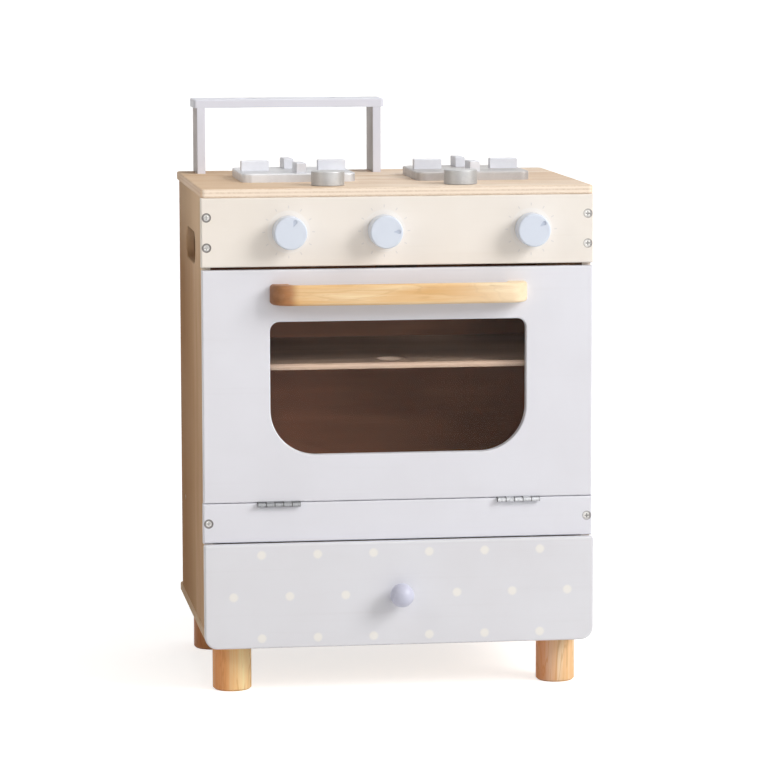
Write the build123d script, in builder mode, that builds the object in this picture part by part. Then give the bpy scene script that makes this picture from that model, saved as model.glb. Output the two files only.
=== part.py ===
"""Toy oven: plywood cabinet on four legs, drop-down door, drawer, knobs, hob plates and rack.

Frame: millimetres, +Z up, front towards -Y. The origin is on the floor, under the middle of the
whole object. Every sub-part is one BuildPart block and one STEP file in parts/.
"""
from build123d import *
from math import cos, radians, sin
import os

os.makedirs("parts", exist_ok=True)

# ------------------------------------------------------------------ driving sizes
width = 400.0  # worktop, base board and front panels, side to side
depth = 300.0  # worktop and base board, front to back
worktop_height = 516.0  # floor to worktop surface
board = 9.0  # plywood of the cabinet, the door and the drawer
thin_board = 4.0  # back panel and drawer bottom
side_inset = 1.0  # side panels stand in from the ends of the worktop
side_back_inset = 21.0  # the cabinet stops short of the worktop's back edge

leg_height = 58.0
leg_diameter = 40.0
leg_edge = 2.0
leg_inset_x = 31.5  # end of the base board to leg centre
leg_inset_y = 36.5  # front or back edge of the base board to leg centre

# front panels, from the floor up
drawer_front_drop = 8.9  # the drawer front hangs below the base board
drawer_front_top = 156.0
rail_gap = 0.5  # drawer front to lower rail
rail_height = 40.5
hinge_gap = 0.6  # lower rail to door
door_top_gap = 3.0  # door to control panel
control_panel_height = 70.0

# clearances
seat_gap = 0.4  # back of the door to the cabinet behind it
door_side_gap = 0.5  # the door is this much narrower at each end
drawer_front_gap = 1.0  # back of the drawer front to the cabinet
screw_clearance = 0.05  # radial, round every screw, dowel and insert
spindle_clearance = 0.08  # radial, running fit of the knob and dial spindles
knob_gap = 0.3  # knobs and spindle heads to the panel they turn on
shelf_clearance = 0.3

# edges
board_corner = 5.0  # plan corners of worktop and base board
board_round = 1.5  # rounded-over edges of the worktop and hob plates
board_edge = 1.0  # eased edges of the other boards
panel_round = 1.5  # rounded-over edges of the painted front panels
drawer_front_round = 2.0
drawer_front_corner = 13.0  # lower corners of the drawer front

# window and pane
window_width = 262.0
window_top_margin = 52.9  # top edge of the door to the window
window_bottom_margin = 47.7  # bottom edge of the door to the window
window_top_corner_share = 0.07  # corner radii as shares of the window height
window_bottom_corner_share = 0.345
pane_thickness = 2.0
pane_margin = 11.0
pane_corner = 6.0

# bow handle
handle_length = 262.0
handle_height = 20.5
handle_reach = 26.0
handle_end_reach = 23.5  # reach where the bow meets its round ends
handle_thickness = 13.0
handle_foot = 20.0
handle_end_radius = 20.0
handle_inner_radius = 9.0
handle_round = 3.5
handle_inner_round = 2.0
handle_from_door_top = 24.6

# hinges
hinge_length = 44.0
hinge_spacing = 246.0
knuckle_count = 5
knuckle_radius = 2.3
knuckle_gap = 0.3
hinge_pin_radius = 1.1
hinge_pin_clearance = 0.06
hinge_axis_offset = 3.1  # hinge axis in front of the lower rail
knuckle_bite = 0.4  # top of the knuckles above the middle of the gap, where they meet the leaves
leaf_thickness = 0.7
leaf_gap = 0.3  # between the two leaves of a hinge
leaf_width = 7.2
leaf_setback = 0.8
leaf_clearance = 0.2  # leaf to the walls of its recess
leaf_screw_spacing = 28.0

# control knobs and hob dials
knob_diameter = 33.5
knob_height = 20.0
knob_round = 1.8
knob_positions = {"left": -111.5, "middle": -14.5, "right": 136.0}
knob_pointer_angles = {"left": 22.0, "middle": 88.0, "right": 54.0}  # clockwise from straight up
pointer_depth = 0.8
pointer_radius = 2.2
pointer_middle = 12.2  # knob middle to the middle of the pointer's round end
pointer_tip = 6.5  # knob middle to the pointed end, which faces inward
dial_diameter = 34.0
dial_height = 14.6
dial_round = 1.2
dial_positions = {"left": -67.0, "right": 69.5}
dial_from_front = 39.0
spindle_radius = 2.5
spindle_grip = 12.0  # length of spindle inside the knob
spindle_head_radius = 5.0
spindle_head_height = 3.0
spindle_chamfer = 0.5
dial_grip = 9.0  # length of spindle inside a dial

# hob plates and pan supports
hob_plate_size = 118.0
hob_plate_corner = 10.0
hob_positions = {"left": -90.0, "right": 92.0}
hob_from_front = 152.0
support_length = 29.0
support_width = 10.0
support_height = 10.5
support_edge = 0.8
support_radius = 40.5  # middle of a support from the middle of its plate
support_turns = {"left": 3.0, "right": 2.0}
hob_screw_spacing = 60.0

# rack at the back left of the worktop
rack_depth = 51.0
rack_top = 79.0  # worktop surface to rack surface
rack_left_face = -182.0  # outer face of the left upright
rack_clear_width = 180.0  # between the uprights
rack_overhang = 3.0
rack_corner = 3.0
rack_hole_diameter = 18.0
rack_hole_spacing = 86.0

# oven interior
oven_floor_bottom = 166.0
shelf_thickness = 6.0
shelf_height_share = 0.467  # of the height inside the oven
shelf_front_setback = 20.0
shelf_hole_diameter = 32.0
shelf_hole_setback = 36.0
batten_width = 8.0
batten_height = 10.0

# hand slots in the side panels
slot_length = 112.0
slot_height = 32.0
slot_below_worktop = 66.5
slot_from_front = 138.0

# drawer
drawer_box_gap = 2.0  # drawer box to side panel
drawer_box_lift = 3.0  # drawer box above the base board
drawer_side_height = 70.0
drawer_back_setback = 20.0  # drawer box to back panel
drawer_bottom_lift = 6.0
drawer_bottom_tongue = 3.0
runner_height = 10.0
runner_engagement = 4.0
runner_clearance = 0.3
runner_setback = 12.0
runner_back_setback = 35.0
groove_stop = 9.0  # uncut length at the front of the runner groove
drawer_knob_diameter = 24.5
drawer_knob_height = 25.0
drawer_knob_neck = 11.0
drawer_knob_base = 15.0
drawer_knob_waist = 4.0  # drawer front to the narrowest part
drawer_dowel_lifts = (20.0, 55.0)  # dowels and screws above the bottom of the drawer box

# catch
catch_length = 40.0
catch_depth = 14.0
catch_overlap = 17.0  # below the bottom edge of the control panel
catch_rise = 12.0  # above the bottom edge of the control panel
catch_screw_spacing = 26.0
magnet_diameter = 8.0
magnet_thickness = 4.0
strike_diameter = 10.0
strike_thickness = 1.2

# fasteners
screw_radius = 2.0
screw_head_radius = 4.0
screw_length = 32.0
screw_sink = 0.4  # heads of the cabinet screws below the faces of the boards
cross_length = 4.6
cross_width = 1.2
cross_depth = 1.2
small_screw_radius = 1.5
small_screw_head_radius = 3.0
small_screw_length = 18.0
leg_screw_radius = 2.5
leg_screw_head_radius = 4.75
leg_screw_length = 42.0
leaf_screw_radius = 1.1
leaf_screw_head_radius = 1.85
leaf_screw_length = 10.0
pane_screw_radius = 1.25
pane_screw_head_radius = 2.75
pane_screw_head_height = 1.8
pane_screw_length = 7.0
pull_screw_radius = 2.0
pull_screw_head_radius = 3.6
pull_screw_head_height = 2.4
handle_screw_length = 22.0
drawer_knob_screw_length = 22.0
dowel_radius = 2.5
dowel_length = 16.0
dowel_in_board = 6.0  # depth of a dowel in the flat of a board
rack_dowel_spacing = 30.0
side_dowels_from_front = (40.0, 144.0, 250.0)
base_screws_from_front = (40.0, 144.0, 250.0)
side_screws_from_front = (23.0, 231.0)
panel_screw_pitch = 30.4
back_screw_shares = (0.1, 0.45, 0.68, 0.94)  # of the height of the back panel
back_floor_screw_spacing = 200.0

# ------------------------------------------------------------------ levels and planes
front_reach = drawer_front_gap + board + drawer_knob_height
face_y = (front_reach - depth) / 2  # outer faces of control panel and lower rail
back_edge_y = face_y + depth
side_front_y = face_y + board
cabinet_back_y = back_edge_y - side_back_inset
back_panel_y = cabinet_back_y - thin_board

base_top = leg_height + board
worktop_bottom = worktop_height - board
drawer_front_bottom = leg_height - drawer_front_drop
rail_bottom = drawer_front_top + rail_gap
rail_top = rail_bottom + rail_height
door_bottom = rail_top + hinge_gap
control_panel_bottom = worktop_bottom - control_panel_height
door_top = control_panel_bottom - door_top_gap
door_height = door_top - door_bottom
door_face_y = face_y - seat_gap
door_back_y = door_face_y + board
window_bottom = door_bottom + window_bottom_margin
window_top = door_top - window_top_margin
window_height = window_top - window_bottom
window_middle_z = (window_bottom + window_top) / 2
handle_z = door_top - handle_from_door_top
knob_z = control_panel_bottom + control_panel_height / 2
oven_floor_top = oven_floor_bottom + board
oven_floor_middle = oven_floor_bottom + board / 2
shelf_bottom = oven_floor_top + shelf_height_share * (worktop_bottom - oven_floor_top)

side_outer_x = width / 2 - side_inset
side_inner_x = side_outer_x - board
side_middle_x = side_outer_x - board / 2
sides = {"left": -1, "right": 1}


def facing_front(y):
    """Plane at y that faces the front: local x is X, local y is Z, extrusion runs to -Y."""
    return Plane.XZ.offset(-y)


def facing_back(x, y, z):
    """Plane through a point, facing +Y."""
    return Plane(origin=(x, y, z), x_dir=(1, 0, 0), z_dir=(0, 1, 0))


def facing_side(x, y, z, sign):
    """Plane through a point, facing outward on the left (-1) or right (+1) side."""
    return Plane(origin=(x, y, z), x_dir=(0, 1, 0), z_dir=(sign, 0, 0))


def front_point(x, y, z):
    """Plane through a point, facing the front."""
    return Plane(origin=(x, y, z), x_dir=(1, 0, 0), z_dir=(0, -1, 0))


def upward(x, y, z):
    """Plane through a point, facing up."""
    return Plane(origin=(x, y, z))


def downward(x, y, z):
    """Plane through a point, facing down."""
    return Plane(origin=(x, y, z), x_dir=(1, 0, 0), z_dir=(0, 0, -1))


# ------------------------------------------------------------------ fastener places
leg_points = {
    "front_left": (-width / 2 + leg_inset_x, face_y + leg_inset_y),
    "front_right": (width / 2 - leg_inset_x, face_y + leg_inset_y),
    "back_left": (-width / 2 + leg_inset_x, back_edge_y - leg_inset_y),
    "back_right": (width / 2 - leg_inset_x, back_edge_y - leg_inset_y),
}
rail_middle = (rail_bottom + rail_top) / 2
control_screw_levels = (knob_z - panel_screw_pitch / 2, knob_z + panel_screw_pitch / 2)
control_screws = [
    front_point(s * side_middle_x, face_y, z) for s in (-1, 1) for z in control_screw_levels
]
rail_screws = [front_point(s * side_middle_x, face_y, rail_middle) for s in (-1, 1)]
floor_screws = {
    name: [facing_side(s * side_outer_x, face_y + y, oven_floor_middle, s) for y in side_screws_from_front]
    for name, s in sides.items()
}
base_screws = [
    downward(s * side_middle_x, face_y + y, leg_height) for s in (-1, 1) for y in base_screws_from_front
]
back_screw_levels = [base_top + share * (worktop_bottom - base_top) for share in back_screw_shares]
back_screws = [facing_back(s * side_middle_x, cabinet_back_y, z) for s in (-1, 1) for z in back_screw_levels]
back_floor_screws = [
    facing_back(s * back_floor_screw_spacing / 2, cabinet_back_y, oven_floor_middle) for s in (-1, 1)
]
side_dowel_points = [(s * side_middle_x, face_y + y) for s in (-1, 1) for y in side_dowels_from_front]

rack_middle_y = back_edge_y - rack_depth / 2
rack_top_bottom = worktop_height + rack_top - board
upright_left_x = rack_left_face + board / 2
upright_right_x = rack_left_face + board + rack_clear_width + board / 2
rack_middle_x = (upright_left_x + upright_right_x) / 2
rack_length = rack_clear_width + 2 * board + 2 * rack_overhang
rack_dowel_points = [
    (x, rack_middle_y + s * rack_dowel_spacing / 2)
    for x in (upright_left_x, upright_right_x)
    for s in (-1, 1)
]

hob_y = face_y + hob_from_front
hob_plate_top = worktop_height + board
hob_points = {name: (x, hob_y) for name, x in hob_positions.items()}
hob_screw_points = [
    (x + s * hob_screw_spacing / 2, y) for x, y in hob_points.values() for s in (-1, 1)
]
dial_points = {name: (x, face_y + dial_from_front) for name, x in dial_positions.items()}

hinge_axis_y = face_y - hinge_axis_offset
hinge_middle_z = (rail_top + door_bottom) / 2
hinge_axis_z = hinge_middle_z + knuckle_bite - knuckle_radius
hinge_xs = (-hinge_spacing / 2, hinge_spacing / 2)
leaf_front_y = face_y + leaf_setback
leaf_middle_y = leaf_front_y + leaf_width / 2
leaf_screw_xs = [x + s * leaf_screw_spacing / 2 for x in hinge_xs for s in (-1, 1)]
leaf_screws = {
    "rail": [upward(x, leaf_middle_y, hinge_middle_z - leaf_gap / 2) for x in leaf_screw_xs],
    "door": [downward(x, leaf_middle_y, hinge_middle_z + leaf_gap / 2) for x in leaf_screw_xs],
}
leaf_recess = leaf_thickness + (leaf_gap - hinge_gap) / 2  # depth of the leaf recesses in rail and door
leaf_recess_back_y = leaf_front_y + leaf_width + leaf_clearance

handle_screw_x = handle_length / 2 - handle_foot / 2
handle_screw_places = [facing_back(s * handle_screw_x, door_back_y, handle_z) for s in (-1, 1)]
pane_screw_places = [
    facing_back(
        s * (window_width + pane_margin) / 2,
        door_back_y + pane_thickness,
        window_middle_z + t * (window_height + pane_margin) / 2,
    )
    for s in (-1, 1)
    for t in (-1, 0, 1)
]

catch_bottom = control_panel_bottom - catch_overlap
catch_top = control_panel_bottom + catch_rise
catch_back_y = side_front_y + catch_depth
catch_screws = [
    facing_back(s * catch_screw_spacing / 2, catch_back_y, control_panel_bottom + catch_rise / 2)
    for s in (-1, 1)
]
magnet_z = (catch_bottom + door_top) / 2

drawer_front_back_y = face_y - drawer_front_gap
drawer_face_y = drawer_front_back_y - board
drawer_knob_z = (drawer_front_bottom + drawer_front_top) / 2
drawer_outer_x = side_inner_x - drawer_box_gap
drawer_inner_x = drawer_outer_x - board
drawer_side_middle_x = drawer_outer_x - board / 2
drawer_box_back_y = back_panel_y - drawer_back_setback
drawer_middle_y = (drawer_front_back_y + drawer_box_back_y) / 2
drawer_length = drawer_box_back_y - drawer_front_back_y
drawer_box_bottom = base_top + drawer_box_lift
drawer_bottom_level = drawer_box_bottom + drawer_bottom_lift
runner_z = drawer_box_bottom + drawer_side_height / 2
runner_depth = drawer_box_gap + runner_engagement
runner_front_y = face_y + runner_setback
runner_back_y = back_panel_y - runner_back_setback
groove_depth = runner_engagement + runner_clearance
groove_start_y = drawer_front_back_y + groove_stop
drawer_dowel_points = [
    (s * drawer_side_middle_x, drawer_box_bottom + lift) for s in (-1, 1) for lift in drawer_dowel_lifts
]
drawer_screws = [
    facing_side(s * drawer_outer_x, drawer_box_back_y - board / 2, drawer_box_bottom + lift, s)
    for s in (-1, 1)
    for lift in drawer_dowel_lifts
]

spindle_length = spindle_grip + board + 2 * knob_gap + spindle_head_height
dial_spindle_length = dial_grip + board + 2 * knob_gap + spindle_head_height

bottom_centred = (Align.CENTER, Align.CENTER, Align.MIN)
top_centred = (Align.CENTER, Align.CENTER, Align.MAX)


def countersunk_hole(radius, head_radius, length, sink=0.0):
    """Clearance hole for a countersunk screw whose head lies this far below the current location."""
    CounterSinkHole(
        radius=radius + screw_clearance,
        counter_sink_radius=head_radius + screw_clearance + sink,
        depth=length + screw_clearance + sink,
        counter_sink_angle=90,
    )


def cabinet_screw_hole():
    """Countersunk hole for a cabinet screw at the current location."""
    countersunk_hole(screw_radius, screw_head_radius, screw_length, screw_sink)


def cabinet_screw_bore():
    """Plain bore for a cabinet screw, measured from the outer face at the current location."""
    Hole(radius=screw_radius + screw_clearance, depth=screw_length + screw_sink + screw_clearance)


def leaf_recesses(level):
    """Recesses for the hinge leaves, open to the front, cut to both sides of a level."""
    recess_length = hinge_length + 2 * leaf_clearance
    recess_front_y = door_face_y - leaf_clearance
    with Locations(*[(x, (recess_front_y + leaf_recess_back_y) / 2, level) for x in hinge_xs]):
        Box(recess_length, leaf_recess_back_y - recess_front_y, 2 * leaf_recess, mode=Mode.SUBTRACT)


def countersunk_screws(places, radius, head_radius, length):
    """Countersunk screws with their heads flush on the given planes."""
    with Locations(*places):
        Cylinder(radius, length, align=top_centred)
        Cone(radius, head_radius, head_radius - radius, align=top_centred)


def pan_head_screws(places, radius, length, head_radius, head_height):
    """Screws whose heads stand on the given planes."""
    with Locations(*places):
        Cylinder(radius, length, align=top_centred)
        Cone(head_radius, head_radius - head_height / 2, head_height, align=bottom_centred)


# ------------------------------------------------------------------ base board and legs
with BuildPart() as base_board:
    with BuildSketch(Plane.XY.offset(leg_height)):
        with Locations((0, face_y + depth / 2)):
            RectangleRounded(width, depth, board_corner)
    extrude(amount=board)
    chamfer(base_board.faces().filter_by(Axis.Z).edges(), length=board_edge)
    with Locations(*[upward(x, y, base_top) for x, y in leg_points.values()]):
        countersunk_hole(leg_screw_radius, leg_screw_head_radius, leg_screw_length)
    with Locations(*base_screws):
        cabinet_screw_hole()
base_board.part.label = "base_board"
export_step(base_board.part, "parts/base_board.step")

for corner, (leg_x, leg_y) in leg_points.items():
    with BuildPart() as leg:
        with BuildSketch(Plane.XY):
            with Locations((leg_x, leg_y)):
                Circle(leg_diameter / 2)
        extrude(amount=leg_height)
        chamfer(leg.edges().group_by(Axis.Z)[0], length=leg_edge)
        with Locations(upward(leg_x, leg_y, leg_height)):
            Hole(radius=leg_screw_radius + screw_clearance, depth=leg_screw_length - board + screw_clearance)
    leg.part.label = f"leg_{corner}"
    export_step(leg.part, f"parts/leg_{corner}.step")

# ------------------------------------------------------------------ side panels
for name, sign in sides.items():
    with BuildPart() as side_panel:
        with BuildSketch(Plane.YZ.offset(sign * side_middle_x)):
            with Locations(((side_front_y + back_panel_y) / 2, (base_top + worktop_bottom) / 2)):
                Rectangle(back_panel_y - side_front_y, worktop_bottom - base_top)
            with Locations((face_y + slot_from_front, worktop_height - slot_below_worktop)):
                SlotOverall(slot_length, slot_height, mode=Mode.SUBTRACT)
        extrude(amount=board / 2, both=True)
        slot_arcs = side_panel.edges().filter_by(GeomType.CIRCLE)
        slot_lines = side_panel.edges().filter_by(Axis.Y).filter_by(lambda edge: edge.length < slot_length)
        chamfer(slot_arcs + slot_lines, length=board_edge)
        panel_screws = [plane for plane in control_screws + rail_screws if plane.origin.X * sign > 0]
        with Locations(*panel_screws):
            cabinet_screw_bore()
        with Locations(*floor_screws[name]):
            cabinet_screw_hole()
        with Locations(*[plane for plane in base_screws if plane.origin.X * sign > 0]):
            cabinet_screw_bore()
        with Locations(*[plane for plane in back_screws if plane.origin.X * sign > 0]):
            Hole(radius=small_screw_radius + screw_clearance, depth=small_screw_length + screw_clearance)
        with Locations(*[upward(x, y, worktop_bottom) for x, y in side_dowel_points if x * sign > 0]):
            Hole(radius=dowel_radius + screw_clearance, depth=dowel_length - dowel_in_board + screw_clearance)
    side_panel.part.label = f"side_panel_{name}"
    export_step(side_panel.part, f"parts/side_panel_{name}.step")

# ------------------------------------------------------------------ worktop
with BuildPart() as worktop:
    with BuildSketch(Plane.XY.offset(worktop_bottom)):
        with Locations((0, face_y + depth / 2)):
            RectangleRounded(width, depth, board_corner)
    extrude(amount=board)
    fillet(worktop.faces().filter_by(Axis.Z).edges(), radius=board_round)
    with Locations(*[upward(x, y, worktop_height) for x, y in dial_points.values()]):
        Hole(radius=spindle_radius + spindle_clearance)
    with Locations(*[downward(x, y, worktop_bottom) for x, y in hob_screw_points]):
        countersunk_hole(small_screw_radius, small_screw_head_radius, small_screw_length)
    with Locations(*[downward(x, y, worktop_bottom) for x, y in side_dowel_points]):
        Hole(radius=dowel_radius + screw_clearance, depth=dowel_in_board + screw_clearance)
    with Locations(*[upward(x, y, worktop_height) for x, y in rack_dowel_points]):
        Hole(radius=dowel_radius + screw_clearance, depth=dowel_in_board + screw_clearance)
worktop.part.label = "worktop"
export_step(worktop.part, "parts/worktop.step")

# ------------------------------------------------------------------ back panel and oven floor
with BuildPart() as back_panel:
    with BuildSketch(facing_front(cabinet_back_y)):
        with Locations((0, (base_top + worktop_bottom) / 2)):
            Rectangle(2 * side_outer_x, worktop_bottom - base_top)
    extrude(amount=thin_board)
    with Locations(*back_screws, *back_floor_screws):
        countersunk_hole(small_screw_radius, small_screw_head_radius, small_screw_length)
back_panel.part.label = "back_panel"
export_step(back_panel.part, "parts/back_panel.step")

with BuildPart() as oven_floor:
    with BuildSketch(Plane.XY.offset(oven_floor_bottom)):
        with Locations((0, (side_front_y + back_panel_y) / 2)):
            Rectangle(2 * side_inner_x, back_panel_y - side_front_y)
    extrude(amount=board)
    with Locations(*floor_screws["left"], *floor_screws["right"]):
        cabinet_screw_bore()
    with Locations(*back_floor_screws):
        Hole(radius=small_screw_radius + screw_clearance, depth=small_screw_length + screw_clearance)
oven_floor.part.label = "oven_floor"
export_step(oven_floor.part, "parts/oven_floor.step")

# ------------------------------------------------------------------ control panel and lower rail
with BuildPart() as control_panel:
    with BuildSketch(facing_front(side_front_y)):
        with Locations((0, knob_z)):
            Rectangle(width, control_panel_height)
    extrude(amount=board)
    fillet(control_panel.faces().sort_by(Axis.Y)[0].edges(), radius=panel_round)
    with Locations(*[front_point(x, face_y, knob_z) for x in knob_positions.values()]):
        Hole(radius=spindle_radius + spindle_clearance)
    with Locations(*control_screws):
        cabinet_screw_hole()
    with Locations(*catch_screws):
        Hole(radius=small_screw_radius + screw_clearance, depth=small_screw_length + screw_clearance)
control_panel.part.label = "control_panel"
export_step(control_panel.part, "parts/control_panel.step")

with BuildPart() as lower_rail:
    with BuildSketch(facing_front(side_front_y)):
        with Locations((0, rail_middle)):
            Rectangle(width, rail_height)
    extrude(amount=board)
    fillet(lower_rail.faces().sort_by(Axis.Y)[0].edges(), radius=panel_round)
    leaf_recesses(rail_top)
    with Locations(*rail_screws):
        cabinet_screw_hole()
    with Locations(*[upward(x, leaf_middle_y, rail_top) for x in leaf_screw_xs]):
        Hole(radius=leaf_screw_radius + screw_clearance, depth=leaf_screw_length)
lower_rail.part.label = "lower_rail"
export_step(lower_rail.part, "parts/lower_rail.step")

# ------------------------------------------------------------------ shelf and battens
shelf_front_y = face_y + shelf_front_setback
with BuildPart() as oven_shelf:
    with BuildSketch(Plane.XY.offset(shelf_bottom)):
        with Locations((0, (shelf_front_y + back_panel_y) / 2)):
            Rectangle(2 * (side_inner_x - shelf_clearance), back_panel_y - shelf_front_y - shelf_clearance)
        with Locations((0, shelf_front_y + shelf_hole_setback)):
            Circle(shelf_hole_diameter / 2, mode=Mode.SUBTRACT)
    extrude(amount=shelf_thickness)
oven_shelf.part.label = "oven_shelf"
export_step(oven_shelf.part, "parts/oven_shelf.step")

with BuildPart() as shelf_battens:
    with BuildSketch(Plane.XY.offset(shelf_bottom - batten_height)):
        for sign in sides.values():
            with Locations((sign * (side_inner_x - batten_width / 2), (shelf_front_y + back_panel_y) / 2)):
                Rectangle(batten_width, back_panel_y - shelf_front_y - board)
    extrude(amount=batten_height)
shelf_battens.part.label = "shelf_battens"
export_step(shelf_battens.part, "parts/shelf_battens.step")

# ------------------------------------------------------------------ rack
for name, upright_x in {"left": upright_left_x, "right": upright_right_x}.items():
    with BuildPart() as upright:
        with BuildSketch(Plane.XY.offset(worktop_height)):
            with Locations((upright_x, rack_middle_y)):
                Rectangle(board, rack_depth)
        extrude(amount=rack_top - board)
        fillet(upright.edges().filter_by(Axis.Z), radius=board_edge)
        rack_dowels = [(x, y) for x, y in rack_dowel_points if abs(x - upright_x) < board]
        with Locations(*[upward(x, y, rack_top_bottom) for x, y in rack_dowels]):
            Hole(radius=dowel_radius + screw_clearance, depth=dowel_length - dowel_in_board + screw_clearance)
        with Locations(*[downward(x, y, worktop_height) for x, y in rack_dowels]):
            Hole(radius=dowel_radius + screw_clearance, depth=dowel_length - dowel_in_board + screw_clearance)
    upright.part.label = f"rack_upright_{name}"
    export_step(upright.part, f"parts/rack_upright_{name}.step")

with BuildPart() as rack_top_board:
    with BuildSketch(Plane.XY.offset(rack_top_bottom)):
        with Locations((rack_middle_x, rack_middle_y)):
            RectangleRounded(rack_length, rack_depth, rack_corner)
        with Locations((rack_middle_x, rack_middle_y)):
            with GridLocations(rack_hole_spacing, 0, 2, 1):
                Circle(rack_hole_diameter / 2, mode=Mode.SUBTRACT)
    extrude(amount=board)
    chamfer(rack_top_board.faces().sort_by(Axis.Z)[-1].edges(), length=board_edge)
    with Locations(*[downward(x, y, rack_top_bottom) for x, y in rack_dowel_points]):
        Hole(radius=dowel_radius + screw_clearance, depth=dowel_in_board + screw_clearance)
rack_top_board.part.label = "rack_top_board"
export_step(rack_top_board.part, "parts/rack_top_board.step")

# ------------------------------------------------------------------ hob plates and pan supports
for name, (hob_x, plate_y) in hob_points.items():
    with BuildPart() as hob_plate:
        with BuildSketch(Plane.XY.offset(worktop_height)):
            with Locations((hob_x, plate_y)):
                RectangleRounded(hob_plate_size, hob_plate_size, hob_plate_corner)
        extrude(amount=board)
        fillet(hob_plate.faces().sort_by(Axis.Z)[-1].edges(), radius=board_round)
        with Locations(*[downward(x, y, worktop_bottom) for x, y in hob_screw_points if x * hob_x > 0]):
            Hole(radius=small_screw_radius + screw_clearance, depth=small_screw_length + screw_clearance)
    hob_plate.part.label = f"hob_plate_{name}"
    export_step(hob_plate.part, f"parts/hob_plate_{name}.step")

    with BuildPart() as hob_supports:
        with BuildSketch(Plane.XY.offset(hob_plate_top)):
            with Locations((hob_x, plate_y)):
                with PolarLocations(support_radius, 4, start_angle=support_turns[name]):
                    Rectangle(support_length, support_width)
        extrude(amount=support_height)
        chamfer(hob_supports.faces().group_by(Axis.Z)[-1].edges(), length=support_edge)
    hob_supports.part.label = f"hob_supports_{name}"
    export_step(hob_supports.part, f"parts/hob_supports_{name}.step")

# ------------------------------------------------------------------ door panel, pane and handle
window_right = window_width / 2
window_top_corner = window_top_corner_share * window_height
window_bottom_corner = window_bottom_corner_share * window_height
with BuildPart() as door_panel:
    with BuildSketch(facing_front(door_back_y)):
        with Locations((0, (door_bottom + door_top) / 2)):
            Rectangle(width - 2 * door_side_gap, door_height)
        with BuildLine():
            FilletPolyline(
                (window_right, window_top),
                (-window_right, window_top),
                (-window_right, window_bottom),
                (window_right, window_bottom),
                radius=(window_top_corner, window_top_corner, window_bottom_corner, window_bottom_corner),
                close=True,
            )
        make_face(mode=Mode.SUBTRACT)
    extrude(amount=board)
    fillet(door_panel.faces().sort_by(Axis.Y)[0].edges(), radius=panel_round)
    leaf_recesses(door_bottom)
    with Locations(*handle_screw_places):
        Hole(radius=pull_screw_radius + screw_clearance)
    with Locations(*pane_screw_places):
        Hole(radius=pane_screw_radius + screw_clearance, depth=pane_screw_length + screw_clearance)
    with Locations(facing_back(0, door_back_y, magnet_z)):
        Hole(radius=strike_diameter / 2 + screw_clearance, depth=strike_thickness)
    with Locations(*[downward(x, leaf_middle_y, door_bottom) for x in leaf_screw_xs]):
        Hole(radius=leaf_screw_radius + screw_clearance, depth=leaf_screw_length)
door_panel.part.label = "door_panel"
export_step(door_panel.part, "parts/door_panel.step")

with BuildPart() as door_pane:
    with BuildSketch(facing_front(door_back_y + pane_thickness)):
        with Locations((0, window_middle_z)):
            RectangleRounded(window_width + 2 * pane_margin, window_height + 2 * pane_margin, pane_corner)
            with GridLocations(window_width + pane_margin, (window_height + pane_margin) / 2, 2, 3):
                Circle(pane_screw_radius + screw_clearance, mode=Mode.SUBTRACT)
    extrude(amount=pane_thickness)
door_pane.part.label = "door_pane"
export_step(door_pane.part, "parts/door_pane.step")

# The bow is drawn from above. Its front is a shallow arc between two round ends that run back to
# feet on the door, and its inner side is a straight finger gap with round corners.
end_x = handle_length / 2
front_corner_x = end_x - handle_end_radius
front_corner_y = door_face_y - handle_end_reach
end_start_y = front_corner_y + handle_end_radius
foot_x = end_x - handle_foot
gap_corner_x = foot_x - handle_inner_radius
gap_y = door_face_y - handle_reach + handle_thickness
margin = 0.1  # tells rims apart from edges next to them


def level_rims(bow, inner):
    """Top and bottom rims of the bow clear of the door, on the finger gap or round the outside."""
    rims = bow.edges().filter_by(lambda edge: abs((edge @ 0.5).Z - handle_z) > handle_height / 2 - margin)
    rims = rims.filter_by(lambda edge: (edge @ 0.5).Y < door_face_y - margin)
    return rims.filter_by(
        lambda edge: inner == (abs((edge @ 0.5).X) < foot_x + margin and (edge @ 0.5).Y > gap_y - margin)
    )


with BuildPart() as door_handle:
    with BuildSketch(Plane.XY.offset(handle_z - handle_height / 2)):
        with BuildLine():
            Line((end_x, door_face_y), (end_x, end_start_y))
            RadiusArc((end_x, end_start_y), (front_corner_x, front_corner_y), handle_end_radius)
            ThreePointArc(
                (front_corner_x, front_corner_y),
                (0, door_face_y - handle_reach),
                (-front_corner_x, front_corner_y),
            )
            RadiusArc((-front_corner_x, front_corner_y), (-end_x, end_start_y), handle_end_radius)
            Line((-end_x, end_start_y), (-end_x, door_face_y))
            Line((-end_x, door_face_y), (-foot_x, door_face_y))
            Line((-foot_x, door_face_y), (-foot_x, gap_y + handle_inner_radius))
            RadiusArc(
                (-foot_x, gap_y + handle_inner_radius),
                (-gap_corner_x, gap_y),
                -handle_inner_radius,
            )
            Line((-gap_corner_x, gap_y), (gap_corner_x, gap_y))
            RadiusArc(
                (gap_corner_x, gap_y),
                (foot_x, gap_y + handle_inner_radius),
                -handle_inner_radius,
            )
            Line((foot_x, gap_y + handle_inner_radius), (foot_x, door_face_y))
            Line((foot_x, door_face_y), (end_x, door_face_y))
        make_face()
    extrude(amount=handle_height)
    fillet(level_rims(door_handle, inner=True), radius=handle_inner_round)
    fillet(level_rims(door_handle, inner=False), radius=handle_round)
    with Locations(*[facing_back(s * handle_screw_x, door_face_y, handle_z) for s in (-1, 1)]):
        Hole(radius=pull_screw_radius + screw_clearance, depth=handle_screw_length - board + screw_clearance)
door_handle.part.label = "door_handle"
export_step(door_handle.part, "parts/door_handle.step")

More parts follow.
